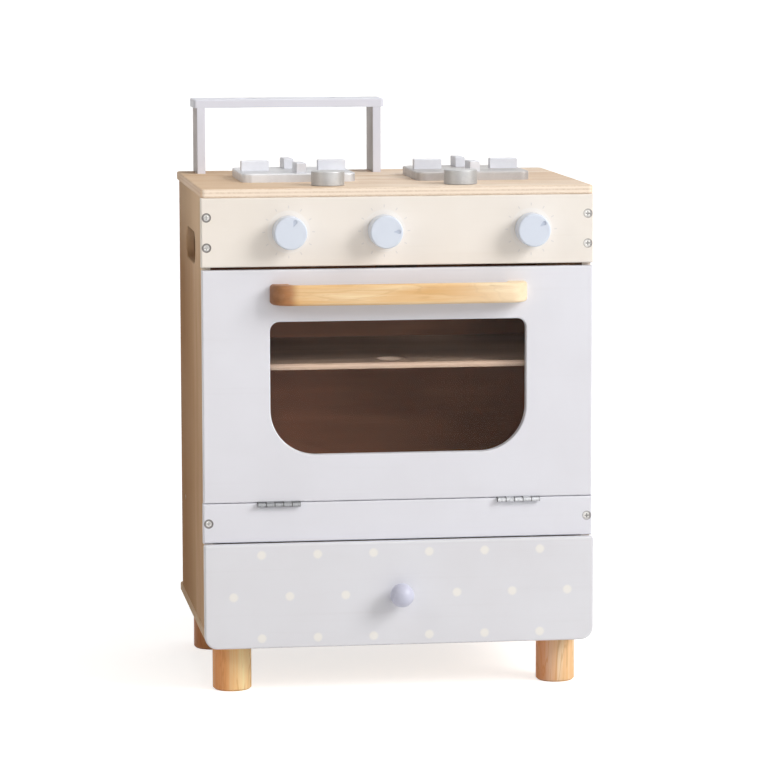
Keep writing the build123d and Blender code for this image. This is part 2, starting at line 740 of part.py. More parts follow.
# ------------------------------------------------------------------ hinges
knuckle_pitch = hinge_length / knuckle_count
knuckle_slots = {
    "rail": [index for index in range(knuckle_count) if index % 2 == 0],
    "door": [index for index in range(knuckle_count) if index % 2 == 1],
}
leaf_levels = {
    "rail": hinge_middle_z - leaf_gap / 2 - leaf_thickness,
    "door": hinge_middle_z + leaf_gap / 2,
}
leaf_web_reach = leaf_front_y - hinge_axis_y
for owner, slots in knuckle_slots.items():
    with BuildPart() as hinge_leaves:
        for hinge_x in hinge_xs:
            with BuildSketch(Plane.XY.offset(leaf_levels[owner])):
                with Locations((hinge_x, leaf_middle_y)):
                    Rectangle(hinge_length, leaf_width)
                for index in slots:
                    knuckle_x = hinge_x - hinge_length / 2 + (index + 0.5) * knuckle_pitch
                    with Locations((knuckle_x, hinge_axis_y + leaf_web_reach / 2)):
                        Rectangle(knuckle_pitch - knuckle_gap, leaf_web_reach)
            extrude(amount=leaf_thickness)
            for index in slots:
                knuckle_x = hinge_x - hinge_length / 2 + (index + 0.5) * knuckle_pitch
                with BuildSketch(Plane.YZ.offset(knuckle_x)):
                    with Locations((hinge_axis_y, hinge_axis_z)):
                        Circle(knuckle_radius)
                extrude(amount=(knuckle_pitch - knuckle_gap) / 2, both=True)
            with BuildSketch(Plane.YZ.offset(hinge_x)):
                with Locations((hinge_axis_y, hinge_axis_z)):
                    Circle(hinge_pin_radius + hinge_pin_clearance)
            extrude(amount=hinge_length, both=True, mode=Mode.SUBTRACT)
        with Locations(*leaf_screws[owner]):
            countersunk_hole(leaf_screw_radius, leaf_screw_head_radius, leaf_screw_length)
    hinge_leaves.part.label = f"hinge_leaves_{owner}"
    export_step(hinge_leaves.part, f"parts/hinge_leaves_{owner}.step")

with BuildPart() as hinge_pins:
    for hinge_x in hinge_xs:
        with BuildSketch(Plane.YZ.offset(hinge_x)):
            with Locations((hinge_axis_y, hinge_axis_z)):
                Circle(hinge_pin_radius)
        extrude(amount=hinge_length / 2, both=True)
hinge_pins.part.label = "hinge_pins"
export_step(hinge_pins.part, "parts/hinge_pins.step")

# ------------------------------------------------------------------ door catch
with BuildPart() as catch_block:
    with BuildSketch(facing_front(catch_back_y)):
        with Locations((0, (catch_bottom + catch_top) / 2)):
            Rectangle(catch_length, catch_top - catch_bottom)
    extrude(amount=catch_depth)
    chamfer(catch_block.faces().sort_by(Axis.Y)[-1].edges(), length=board_edge)
    with Locations(front_point(0, side_front_y, magnet_z)):
        Hole(radius=magnet_diameter / 2 + screw_clearance, depth=magnet_thickness)
    with Locations(*catch_screws):
        countersunk_hole(small_screw_radius, small_screw_head_radius, small_screw_length)
catch_block.part.label = "catch_block"
export_step(catch_block.part, "parts/catch_block.step")

with BuildPart() as catch_magnet:
    with BuildSketch(facing_front(side_front_y + magnet_thickness)):
        with Locations((0, magnet_z)):
            Circle(magnet_diameter / 2)
    extrude(amount=magnet_thickness)
catch_magnet.part.label = "catch_magnet"
export_step(catch_magnet.part, "parts/catch_magnet.step")

with BuildPart() as strike_plate:
    with BuildSketch(facing_front(door_back_y)):
        with Locations((0, magnet_z)):
            Circle(strike_diameter / 2)
    extrude(amount=strike_thickness)
strike_plate.part.label = "strike_plate"
export_step(strike_plate.part, "parts/strike_plate.step")

# ------------------------------------------------------------------ drawer
with BuildPart() as drawer_front:
    with BuildSketch(facing_front(drawer_front_back_y)):
        with BuildLine():
            FilletPolyline(
                (width / 2, drawer_front_top),
                (-width / 2, drawer_front_top),
                (-width / 2, drawer_front_bottom),
                (width / 2, drawer_front_bottom),
                radius=(drawer_front_round, drawer_front_round, drawer_front_corner, drawer_front_corner),
                close=True,
            )
        make_face()
    extrude(amount=board)
    fillet(drawer_front.faces().sort_by(Axis.Y)[0].edges(), radius=drawer_front_round)
    with Locations(facing_back(0, drawer_front_back_y, drawer_knob_z)):
        Hole(radius=pull_screw_radius + screw_clearance)
    with Locations(*[facing_back(x, drawer_front_back_y, z) for x, z in drawer_dowel_points]):
        Hole(radius=dowel_radius + screw_clearance, depth=dowel_in_board + screw_clearance)
drawer_front.part.label = "drawer_front"
export_step(drawer_front.part, "parts/drawer_front.step")

for name, sign in sides.items():
    with BuildPart() as drawer_side:
        with BuildSketch(Plane.YZ.offset(sign * drawer_side_middle_x)):
            with Locations((drawer_middle_y, runner_z)):
                Rectangle(drawer_length, drawer_side_height)
        extrude(amount=board / 2, both=True)
        with BuildSketch(Plane.YZ.offset(sign * (drawer_outer_x - groove_depth / 2))):
            with Locations(((groove_start_y + drawer_box_back_y) / 2, runner_z)):
                Rectangle(drawer_box_back_y - groove_start_y, runner_height + 2 * runner_clearance)
        extrude(amount=groove_depth / 2, both=True, mode=Mode.SUBTRACT)
        with BuildSketch(Plane.YZ.offset(sign * (drawer_inner_x + drawer_bottom_tongue / 2))):
            with Locations((drawer_middle_y, drawer_bottom_level + thin_board / 2)):
                Rectangle(drawer_length, thin_board)
        extrude(amount=drawer_bottom_tongue / 2, both=True, mode=Mode.SUBTRACT)
        with Locations(*[plane for plane in drawer_screws if plane.origin.X * sign > 0]):
            countersunk_hole(small_screw_radius, small_screw_head_radius, small_screw_length)
        side_dowels = [(x, z) for x, z in drawer_dowel_points if x * sign > 0]
        with Locations(*[front_point(x, drawer_front_back_y, z) for x, z in side_dowels]):
            Hole(radius=dowel_radius + screw_clearance, depth=dowel_length - dowel_in_board + screw_clearance)
    drawer_side.part.label = f"drawer_side_{name}"
    export_step(drawer_side.part, f"parts/drawer_side_{name}.step")

    with BuildPart() as drawer_runner:
        with BuildSketch(Plane.YZ.offset(sign * (side_inner_x - runner_depth / 2))):
            with Locations(((runner_front_y + runner_back_y) / 2, runner_z)):
                Rectangle(runner_back_y - runner_front_y, runner_height)
        extrude(amount=runner_depth / 2, both=True)
    drawer_runner.part.label = f"drawer_runner_{name}"
    export_step(drawer_runner.part, f"parts/drawer_runner_{name}.step")

with BuildPart() as drawer_bottom:
    with BuildSketch(Plane.XY.offset(drawer_bottom_level)):
        with Locations((0, drawer_middle_y)):
            Rectangle(2 * (drawer_inner_x + drawer_bottom_tongue), drawer_length)
    extrude(amount=thin_board)
drawer_bottom.part.label = "drawer_bottom"
export_step(drawer_bottom.part, "parts/drawer_bottom.step")

drawer_back_bottom = drawer_bottom_level + thin_board
drawer_back_top = drawer_box_bottom + drawer_side_height
with BuildPart() as drawer_back:
    with BuildSketch(facing_front(drawer_box_back_y)):
        with Locations((0, (drawer_back_bottom + drawer_back_top) / 2)):
            Rectangle(2 * drawer_inner_x, drawer_back_top - drawer_back_bottom)
    extrude(amount=board)
    with Locations(*drawer_screws):
        Hole(radius=small_screw_radius + screw_clearance, depth=small_screw_length + screw_clearance)
drawer_back.part.label = "drawer_back"
export_step(drawer_back.part, "parts/drawer_back.step")

# The drawer knob is turned: a short foot, a waist, a tight round and a ball front, drawn from above.
ball_radius = drawer_knob_diameter / 2
ball_middle_y = drawer_face_y - drawer_knob_height + ball_radius
foot_radius = drawer_knob_base / 2
waist_y = drawer_face_y - drawer_knob_waist
neck_y = drawer_face_y - 2 * drawer_knob_waist
neck_point = (foot_radius, neck_y)
with BuildPart() as drawer_knob:
    with BuildSketch(Plane.XY.offset(drawer_knob_z)):
        with BuildLine():
            Line((0, drawer_face_y), (foot_radius, drawer_face_y))
            ThreePointArc((foot_radius, drawer_face_y), (drawer_knob_neck / 2, waist_y), neck_point)
            TangentArc((ball_radius, ball_middle_y), neck_point, tangent=(0, 1))
            CenterArc((0, ball_middle_y), ball_radius, 270, 90)
            Line((0, drawer_face_y - drawer_knob_height), (0, drawer_face_y))
        make_face()
    revolve(axis=Axis((0, drawer_face_y, drawer_knob_z), (0, -1, 0)))
    with Locations(facing_back(0, drawer_face_y, drawer_knob_z)):
        Hole(
            radius=pull_screw_radius + screw_clearance,
            depth=drawer_knob_screw_length - board + screw_clearance,
        )
drawer_knob.part.label = "drawer_knob"
export_step(drawer_knob.part, "parts/drawer_knob.step")

# ------------------------------------------------------------------ control knobs and their spindles
for name, knob_x in knob_positions.items():
    knob_back_y = face_y - knob_gap
    knob_face_y = knob_back_y - knob_height
    pointer_angle = radians(knob_pointer_angles[name])
    pointer_plane = Plane(
        origin=(knob_x, knob_face_y, knob_z),
        x_dir=(cos(pointer_angle), 0, -sin(pointer_angle)),
        z_dir=(0, -1, 0),
    )
    with BuildPart() as control_knob:
        with BuildSketch(facing_front(knob_back_y)):
            with Locations((knob_x, knob_z)):
                Circle(knob_diameter / 2)
        extrude(amount=knob_height)
        fillet(control_knob.edges().group_by(Axis.Y)[0], radius=knob_round)
        chamfer(control_knob.edges().group_by(Axis.Y)[-1], length=knob_gap)
        with BuildSketch(pointer_plane):
            with Locations((0, pointer_middle)):
                Circle(pointer_radius)
            with BuildLine():
                Polyline(
                    (-pointer_radius, pointer_middle),
                    (pointer_radius, pointer_middle),
                    (0, pointer_tip),
                    close=True,
                )
            make_face()
        extrude(amount=-pointer_depth, mode=Mode.SUBTRACT)
        with Locations(facing_back(knob_x, knob_back_y, knob_z)):
            Hole(radius=spindle_radius + screw_clearance, depth=spindle_grip + screw_clearance)
    control_knob.part.label = f"control_knob_{name}"
    export_step(control_knob.part, f"parts/control_knob_{name}.step")

    with BuildPart() as knob_spindle:
        with Locations(facing_back(knob_x, knob_back_y - spindle_grip, knob_z)):
            Cylinder(spindle_radius, spindle_length, align=bottom_centred)
        with Locations(facing_back(knob_x, side_front_y + knob_gap, knob_z)):
            Cylinder(spindle_head_radius, spindle_head_height, align=bottom_centred)
        chamfer(knob_spindle.edges().group_by(Axis.Y)[-1], length=spindle_chamfer)
    knob_spindle.part.label = f"knob_spindle_{name}"
    export_step(knob_spindle.part, f"parts/knob_spindle_{name}.step")

# ------------------------------------------------------------------ hob dials and their spindles
for name, (dial_x, dial_y) in dial_points.items():
    dial_bottom = worktop_height + knob_gap
    with BuildPart() as hob_dial:
        with BuildSketch(Plane.XY.offset(dial_bottom)):
            with Locations((dial_x, dial_y)):
                Circle(dial_diameter / 2)
        extrude(amount=dial_height)
        fillet(hob_dial.edges().group_by(Axis.Z)[-1], radius=dial_round)
        chamfer(hob_dial.edges().group_by(Axis.Z)[0], length=knob_gap)
        with Locations(downward(dial_x, dial_y, dial_bottom)):
            Hole(radius=spindle_radius + screw_clearance, depth=dial_grip + screw_clearance)
    hob_dial.part.label = f"hob_dial_{name}"
    export_step(hob_dial.part, f"parts/hob_dial_{name}.step")

    with BuildPart() as dial_spindle:
        with Locations(downward(dial_x, dial_y, dial_bottom + dial_grip)):
            Cylinder(spindle_radius, dial_spindle_length, align=bottom_centred)
        with Locations(downward(dial_x, dial_y, worktop_bottom - knob_gap)):
            Cylinder(spindle_head_radius, spindle_head_height, align=bottom_centred)
        chamfer(dial_spindle.edges().group_by(Axis.Z)[0], length=spindle_chamfer)
    dial_spindle.part.label = f"dial_spindle_{name}"
    export_step(dial_spindle.part, f"parts/dial_spindle_{name}.step")

# ------------------------------------------------------------------ screws and dowels
front_screws = control_screws + rail_screws
cabinet_screw_places = front_screws + floor_screws["left"] + floor_screws["right"] + base_screws
cabinet_head_places = [plane.offset(-screw_sink) for plane in cabinet_screw_places]
with BuildPart() as cabinet_screws:
    countersunk_screws(cabinet_head_places, screw_radius, screw_head_radius, screw_length)
    with BuildSketch(*cabinet_head_places):
        Rectangle(cross_length, cross_width)
        Rectangle(cross_width, cross_length)
    extrude(amount=-cross_depth, mode=Mode.SUBTRACT)
cabinet_screws.part.label = "cabinet_screws"
export_step(cabinet_screws.part, "parts/cabinet_screws.step")

hob_screws = [downward(x, y, worktop_bottom) for x, y in hob_screw_points]
with BuildPart() as small_screws:
    countersunk_screws(
        back_screws + back_floor_screws + hob_screws + catch_screws,
        small_screw_radius,
        small_screw_head_radius,
        small_screw_length,
    )
small_screws.part.label = "small_screws"
export_step(small_screws.part, "parts/small_screws.step")

with BuildPart() as leg_screws:
    countersunk_screws(
        [upward(x, y, base_top) for x, y in leg_points.values()],
        leg_screw_radius,
        leg_screw_head_radius,
        leg_screw_length,
    )
leg_screws.part.label = "leg_screws"
export_step(leg_screws.part, "parts/leg_screws.step")

for owner, places in leaf_screws.items():
    with BuildPart() as hinge_screws:
        countersunk_screws(places, leaf_screw_radius, leaf_screw_head_radius, leaf_screw_length)
    hinge_screws.part.label = f"hinge_screws_{owner}"
    export_step(hinge_screws.part, f"parts/hinge_screws_{owner}.step")

with BuildPart() as pane_screws:
    pan_head_screws(
        pane_screw_places,
        pane_screw_radius,
        pane_screw_length,
        pane_screw_head_radius,
        pane_screw_head_height,
    )
pane_screws.part.label = "pane_screws"
export_step(pane_screws.part, "parts/pane_screws.step")

with BuildPart() as handle_screws:
    pan_head_screws(
        handle_screw_places,
        pull_screw_radius,
        handle_screw_length,
        pull_screw_head_radius,
        pull_screw_head_height,
    )
handle_screws.part.label = "handle_screws"
export_step(handle_screws.part, "parts/handle_screws.step")

with BuildPart() as drawer_knob_screw:
    pan_head_screws(
        [facing_back(0, drawer_front_back_y, drawer_knob_z)],
        pull_screw_radius,
        drawer_knob_screw_length,
        pull_screw_head_radius,
        pull_screw_head_height,
    )
drawer_knob_screw.part.label = "drawer_knob_screw"
export_step(drawer_knob_screw.part, "parts/drawer_knob_screw.step")

with BuildPart() as drawer_box_screws:
    countersunk_screws(drawer_screws, small_screw_radius, small_screw_head_radius, small_screw_length)
drawer_box_screws.part.label = "drawer_box_screws"
export_step(drawer_box_screws.part, "parts/drawer_box_screws.step")

with BuildPart() as dowels:
    with Locations(*[upward(x, y, worktop_bottom + dowel_in_board) for x, y in side_dowel_points]):
        Cylinder(dowel_radius, dowel_length, align=top_centred)
    with Locations(*[upward(x, y, rack_top_bottom + dowel_in_board) for x, y in rack_dowel_points]):
        Cylinder(dowel_radius, dowel_length, align=top_centred)
    with Locations(*[upward(x, y, worktop_height - dowel_in_board) for x, y in rack_dowel_points]):
        Cylinder(dowel_radius, dowel_length, align=bottom_centred)
dowels.part.label = "dowels"
export_step(dowels.part, "parts/dowels.step")

with BuildPart() as drawer_dowels:
    drawer_dowel_start_y = drawer_front_back_y - dowel_in_board
    with Locations(*[facing_back(x, drawer_dowel_start_y, z) for x, z in drawer_dowel_points]):
        Cylinder(dowel_radius, dowel_length, align=bottom_centred)
drawer_dowels.part.label = "drawer_dowels"
export_step(drawer_dowels.part, "parts/drawer_dowels.step")
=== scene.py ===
"""Toy oven: materials, floor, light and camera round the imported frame.

Metres, +Z up, front towards -Y, in the frame's own axes. Every visible piece is a CAD node with its
own procedural material; the only mesh made here is the floor with its backdrop.
"""
import math

import bmesh
import bpy
from mathutils import Matrix, Vector


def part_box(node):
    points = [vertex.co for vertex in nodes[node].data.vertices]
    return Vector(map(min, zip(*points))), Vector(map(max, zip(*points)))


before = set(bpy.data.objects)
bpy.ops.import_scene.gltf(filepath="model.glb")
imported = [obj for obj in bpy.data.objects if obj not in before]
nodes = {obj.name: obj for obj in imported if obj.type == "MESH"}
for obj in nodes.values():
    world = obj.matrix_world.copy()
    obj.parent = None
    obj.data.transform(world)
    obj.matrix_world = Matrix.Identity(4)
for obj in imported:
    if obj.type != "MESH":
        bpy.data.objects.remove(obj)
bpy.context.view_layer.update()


# ---------------------------------------------------------------- node helpers
class Graph:
    """A material's node tree, with short calls for the nodes used here."""

    def __init__(self, name):
        self.material = bpy.data.materials.new(name)
        self.material.use_nodes = True
        self.tree = self.material.node_tree
        self.tree.nodes.clear()
        self.output = self.node("ShaderNodeOutputMaterial")
        self.shader = self.node("ShaderNodeBsdfPrincipled")
        self.link(self.shader.outputs[0], self.output.inputs["Surface"])
        self.place = self.node("ShaderNodeTexCoord").outputs["Object"]

    def node(self, kind, **settings):
        made = self.tree.nodes.new(kind)
        for key, value in settings.items():
            setattr(made, key, value)
        return made

    def link(self, start, end):
        self.tree.links.new(start, end)

    def feed(self, socket, value):
        if isinstance(value, bpy.types.NodeSocket):
            self.link(value, socket)
        elif value is not None:
            socket.default_value = value

    def stretched(self, scale, offset=(0, 0, 0), turn=(0, 0, 0)):
        mapping = self.node("ShaderNodeMapping")
        self.link(self.place, mapping.inputs["Vector"])
        mapping.inputs["Scale"].default_value = scale
        mapping.inputs["Location"].default_value = offset
        mapping.inputs["Rotation"].default_value = turn
        return mapping.outputs[0]

    def noise(self, where, detail=4.0, rough=0.55, distortion=0.0):
        noise = self.node("ShaderNodeTexNoise")
        self.link(where, noise.inputs["Vector"])
        noise.inputs["Scale"].default_value = 1.0
        noise.inputs["Detail"].default_value = detail
        noise.inputs["Roughness"].default_value = rough
        noise.inputs["Distortion"].default_value = distortion
        return noise.outputs["Fac"]

    def math(self, operation, a, b=None):
        made = self.node("ShaderNodeMath", operation=operation)
        self.feed(made.inputs[0], a)
        self.feed(made.inputs[1], b)
        return made.outputs[0]

    def times(self, *factors):
        """The product of two or more values."""
        product = factors[0]
        for factor in factors[1:]:
            product = self.math("MULTIPLY", product, factor)
        return product

    def ramp(self, value, low, high, to_low=0.0, to_high=1.0):
        made = self.node("ShaderNodeMapRange", interpolation_type="SMOOTHSTEP")
        self.feed(made.inputs["Value"], value)
        for key, number in (("From Min", low), ("From Max", high), ("To Min", to_low), ("To Max", to_high)):
            self.feed(made.inputs[key], number)
        return made.outputs["Result"]

    def mix(self, factor, a, b):
        made = self.node("ShaderNodeMix", data_type="RGBA")
        self.feed(made.inputs[0], factor)
        self.feed(made.inputs[6], a)
        self.feed(made.inputs[7], b)
        return made.outputs[2]

    def xyz(self):
        made = self.node("ShaderNodeSeparateXYZ")
        self.link(self.place, made.inputs[0])
        return made.outputs

    def distance(self, across, up):
        both = self.math("ADD", self.times(across, across), self.times(up, up))
        return self.math("SQRT", both)

    def normal(self):
        """The surface's own direction in the row frame, as three values."""
        geometry = self.node("ShaderNodeNewGeometry")
        turned = self.node("ShaderNodeVectorTransform", vector_type="NORMAL")
        turned.convert_from, turned.convert_to = "WORLD", "OBJECT"
        self.link(geometry.outputs["True Normal"], turned.inputs[0])
        made = self.node("ShaderNodeSeparateXYZ")
        self.link(turned.outputs[0], made.inputs[0])
        return made.outputs

    def facing_front(self):
        """How far the surface faces forwards: 1 on a front face, 0 on a side."""
        return self.times(self.normal()[1], -1.0)

    def bump(self, height, distance, strength=0.5):
        made = self.node("ShaderNodeBump")
        made.inputs["Strength"].default_value = strength
        made.inputs["Distance"].default_value = distance
        self.link(height, made.inputs["Height"])
        return made.outputs[0]

    def finish(self, colour, roughness, normal=None, **plain):
        self.feed(self.shader.inputs["Base Color"], colour)
        self.feed(self.shader.inputs["Roughness"], roughness)
        if normal is not None:
            self.link(normal, self.shader.inputs["Normal"])
        for key, value in plain.items():
            self.shader.inputs[key.replace("_", " ")].default_value = value
        return self.material


def rgb(r, g, b):
    """An sRGB colour, 0 to 255 and none of it near black, as the linear colour that a socket holds."""
    return (*(((value / 255 + 0.055) / 1.055) ** 2.4 for value in (r, g, b)), 1.0)


AXES = {"x": 0, "y": 1, "z": 2}

# how far in from an edge the rubbing reaches, and the depth of each finish's fine relief
rub_width = 0.0011
wood_relief = 0.00012
paint_relief = 0.00006
flake_relief = 0.00004
steel_relief = 0.00002


def grain_scale(axis, along, across):
    return tuple(along if AXES[axis] == index else across for index in range(3))


def darker(colour, amount):
    return tuple(value * amount for value in colour[:3]) + (1.0,)


def edge_rub(g, colour, node, tone, amount):
    """The colour rubbed towards a tone in patches along the outer edges of a node."""
    low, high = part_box(node)
    depths = []
    for index, value in enumerate(g.xyz()):
        middle, half = (low[index] + high[index]) / 2, (high[index] - low[index]) / 2
        depths.append(g.math("SUBTRACT", half, g.math("ABSOLUTE", g.math("SUBTRACT", value, middle))))
    lesser = g.math("MINIMUM", depths[0], depths[1])
    greater = g.math("MAXIMUM", depths[0], depths[1])
    edge = g.math("MAXIMUM", lesser, g.math("MINIMUM", greater, depths[2]))
    patch = g.noise(g.stretched((45, 45, 45), low), detail=4.0)
    rubbed = g.times(g.ramp(edge, rub_width, rub_width * 0.3), g.ramp(patch, 0.45, 0.62), amount)
    return g.mix(rubbed, colour, tone)


def wood_graph(
    name, light, dark, grain, seed, figure=0.5, broad=16.0, contrast=0.16, slope=0.0, rings=8, ringed=0.2
):
    """Wood with its grain along one axis: broad figure, rings, growth lines, fine fibres and pores."""
    g = Graph(name)
    shift = (seed * 1.7, seed * 2.3, seed * 0.9)
    turn = (0.0, slope, 0.0)
    wide_place = g.stretched(grain_scale(grain, broad * 0.14, broad), shift, turn)
    wide = g.noise(wide_place, detail=3.0, distortion=0.6)
    line_place = g.stretched(grain_scale(grain, 3.0, 130.0), shift, turn)
    lines = g.noise(line_place, detail=3.0, rough=0.6, distortion=1.1)
    fibres = g.noise(g.stretched(grain_scale(grain, 22.0, 1500.0), shift), detail=2.0, rough=0.7)
    pores = g.noise(g.stretched(grain_scale(grain, 55.0, 2600.0), shift), detail=1.0)
    lined = figure * 0.5
    both = g.math("ADD", g.times(wide, 1 - lined), g.times(lines, lined))
    base = g.mix(g.ramp(both, 0.5 - contrast, 0.5 + contrast), light, dark)
    ring = g.math("ABSOLUTE", g.math("SUBTRACT", g.math("FRACT", g.times(wide, rings)), 0.5))
    base = g.mix(g.times(g.ramp(ring, 0.14, 0.02), ringed), base, darker(dark, 0.78))
    base = g.mix(g.ramp(fibres, 0.35, 0.75, 0.0, 0.35), base, dark)
    flecks = g.ramp(pores, 0.68, 0.78, 0.0, 0.45)
    g.base = g.mix(flecks, base, darker(dark, 0.62))
    g.height = g.math("ADD", g.times(fibres, 0.6), g.times(flecks, -0.9))
    worn = g.noise(g.stretched((9, 9, 9), shift), detail=3.0)
    g.wear = g.math("ADD", g.ramp(worn, 0.3, 0.7, -0.06, 0.08), g.times(fibres, 0.08))
    g.shift = shift
    return g


def end_grain(g, grain, tone, amount):
    """The deeper colour of the faces that cut across the grain."""
    facing = g.math("ABSOLUTE", g.normal()[AXES[grain]])
    g.base = g.mix(g.ramp(facing, 0.4, 0.9, 0.0, amount), g.base, tone)


def deepen(g, axis, start, end, tone, amount):
    """A tone that sets in along an axis, from start to end."""
    g.base = g.mix(g.ramp(g.xyz()[AXES[axis]], start, end, 0.0, amount), g.base, tone)


def finish_wood(g, rough, shine):
    relief = g.bump(g.height, wood_relief, 0.55)
    return g.finish(g.base, g.math("ADD", g.wear, rough), relief, Specular_IOR_Level=shine)


def wood(name, light, dark, grain, seed, rough, shine=0.42):
    g = wood_graph(name, light, dark, grain, seed)
    end_grain(g, grain, darker(dark, 0.6), 0.3)
    return finish_wood(g, rough, shine)


def add_layers(g, light, dark, ply, layers, top, thick, strength):
    """Plywood layers on the edges of a board whose thickness runs along the ply axis."""
    edge = g.ramp(g.math("ABSOLUTE", g.normal()[AXES[ply]]), 0.75, 0.6)
    depth = g.times(g.math("SUBTRACT", top, g.xyz()[AXES[ply]]), layers / thick)
    wobble = g.times(g.noise(g.stretched((70, 70, 70), g.shift), detail=2.0), 0.35)
    wave = g.math("SINE", g.times(g.math("ADD", depth, wobble), math.pi))
    cut = g.noise(g.stretched((420, 420, 420), g.shift), detail=3.0)
    shade = g.times(g.ramp(wave, -0.35, 0.35), g.ramp(cut, 0.3, 0.75, 0.45, 1.0), strength)
    g.base = g.mix(edge, g.base, g.mix(shade, light, darker(dark, 0.8)))
    g.height = g.math("ADD", g.height, g.times(wave, edge, 0.25))


def painted(name, colour, rough, tint, seed, grain="x", node=None):
    """Sprayed paint on wood: a faint cloud in the colour, grain that shows through and a fine stipple."""
    g = Graph(name)
    shift = (seed, seed * 0.6, seed * 1.3)
    cloud = g.noise(g.stretched((7, 7, 7), shift), detail=4.0)
    streak = g.noise(g.stretched(grain_scale(grain, 6.0, 160.0), shift), detail=3.0)
    stipple = g.noise(g.stretched((1400, 1400, 1400), shift), detail=2.0)
    base = g.mix(g.ramp(cloud, 0.3, 0.72, 0.0, 0.55), colour, tint)
    base = g.mix(g.ramp(streak, 0.55, 0.75, 0.0, 0.22), base, tint)
    if node is not None:
        base = edge_rub(g, base, node, darker(tint, 0.72), 0.4)
    dull = g.noise(g.stretched((23, 23, 23), shift), detail=3.0)
    g.base = base
    g.height = g.math("ADD", g.times(stipple, 0.5), g.times(streak, 0.6))
    g.roughness = g.ramp(dull, 0.3, 0.7, rough - 0.05, rough + 0.07)
    return g


def finish_paint(g, colour, shine=0.45):
    return g.finish(colour, g.roughness, g.bump(g.height, paint_relief), Specular_IOR_Level=shine)


def painted_plain(*settings, **more):
    g = painted(*settings, **more)
    return finish_paint(g, g.base)


def silver(name, tones, metallic, rough, seed):
    """Silver paint on wood: fine flake, a soft sheen and handling marks."""
    g = Graph(name)
    shift = (seed, seed * 1.9, seed * 0.4)
    flake = g.noise(g.stretched((2600, 2600, 2600), shift), detail=1.0)
    cloud = g.noise(g.stretched((28, 28, 28), shift), detail=4.0)
    base = g.mix(g.ramp(cloud, 0.3, 0.7), *tones)
    base = g.mix(g.ramp(flake, 0.6, 0.75, 0.0, 0.5), base, rgb(238, 239, 242))
    roughness = g.ramp(cloud, 0.3, 0.7, rough - 0.06, rough + 0.06)
    brushed = g.noise(g.stretched((300, 300, 300), shift))
    relief = g.bump(g.math("ADD", flake, brushed), flake_relief, 0.45)
    return g.finish(base, roughness, relief, Metallic=metallic)


def steel_graph(name, tone, rough, axis, seed):
    """Zinc-plated steel with drawn scratches and a dull patchy bloom."""
    g = Graph(name)
    shift = (seed, seed, seed * 2)
    lines = g.noise(g.stretched(grain_scale(axis, 300.0, 9000.0), shift), detail=2.0)
    patch = g.noise(g.stretched((420, 420, 420), shift), detail=4.0)
    bloom = rgb(*(int(value * 0.8) for value in tone))
    g.base = g.mix(g.ramp(patch, 0.35, 0.7), rgb(*tone), bloom)
    g.height = lines
    g.roughness = g.math("ADD", g.ramp(patch, 0.3, 0.7, rough - 0.08, rough + 0.1), g.times(lines, 0.08))
    return g


def finish_steel(g, colour, metallic):
    return g.finish(colour, g.roughness, g.bump(g.height, steel_relief), Metallic=metallic)


def steel(*settings):
    g = steel_graph(*settings)
    return finish_steel(g, g.base, 1.0)


def put(material, *names):
    for name in names:
        mesh = nodes[name].data
        mesh.materials.clear()
        mesh.materials.append(material)


# ---------------------------------------------------------------- boards in clear-lacquered plywood
birch = (rgb(250, 234, 216), rgb(228, 200, 172))
side = (rgb(238, 206, 174), rgb(216, 178, 140))
raw = (rgb(205, 168, 134), rgb(170, 130, 98))
# brown for the oven's inside, darkened as painted shade
shaded_lining = (rgb(180, 128, 98), rgb(146, 102, 76))
painted_edge = rgb(246, 234, 220)


def board_graph(node, tones, grain, ply, seed, layers=5, end=None, cut=0.6, **more):
    """Plywood: a figured face, layered edges that are rubbed in places, and darker end grain."""
    low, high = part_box(node)
    axis = AXES[ply]
    g = wood_graph(f"{node}_wood", *tones, grain, seed, **more)
    add_layers(g, *tones, ply, layers, high[axis], high[axis] - low[axis], cut)
    end_grain(g, grain, end or darker(tones[1], 0.5), 0.55)
    g.base = edge_rub(g, g.base, node, darker(tones[1], 0.7), 0.45)
    return g


def board(node, tones, grain, ply, seed, layers=5):
    put(finish_wood(board_graph(node, tones, grain, ply, seed, layers), 0.55, 0.3), node)


def casing_board(node, grain, ply, seed):
    """Outer board with painted shade that darkens it towards the back and towards the bottom, a painted
    highlight near its top, and its front edge painted like the front panels.
    """
    low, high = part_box(node)
    g = board_graph(node, side, grain, ply, seed)
    # painted shade deeper towards the back and lower down, and painted light just under the top edge
    deepen(g, "y", low[1] + 0.05, high[1] - 0.04, rgb(164, 120, 80), 0.85)
    deepen(g, "z", high[2], high[2] - 0.3, rgb(190, 146, 104), 0.35)
    deepen(g, "z", high[2] - 0.1, high[2] - 0.01, rgb(255, 228, 196), 0.5)
    y = g.xyz()[1]
    front = g.times(g.ramp(g.facing_front(), 0.7, 0.9), g.ramp(y, low[1] + 0.002, low[1] + 0.001))
    g.base = g.mix(front, g.base, painted_edge)
    put(finish_wood(g, 0.75, 0.1), node)


def worktop_board():
    """Plywood top with painted shade that deepens its top face towards the left end."""
    low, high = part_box("worktop")
    figured = {"figure": 0.8, "contrast": 0.11, "rings": 10, "ringed": 0.35}
    g = board_graph("worktop", birch, "x", "z", 1.0, end=rgb(236, 196, 156), cut=0.5, **figured)
    on_top = g.ramp(g.normal()[2], 0.7, 0.9)
    # painted shade on the top face, deepening towards the left end
    painted_shade_leftward = g.ramp(g.xyz()[0], low[0] + 0.25, low[0] + 0.02, 0.0, 0.6)
    g.base = g.mix(g.times(on_top, painted_shade_leftward), g.base, rgb(204, 164, 116))
    put(finish_wood(g, 0.55, 0.22), "worktop")


worktop_board()
casing_board("base_board", "x", "z", 2.0)
casing_board("side_panel_left", "z", "x", 3.0)
casing_board("side_panel_right", "z", "x", 4.0)


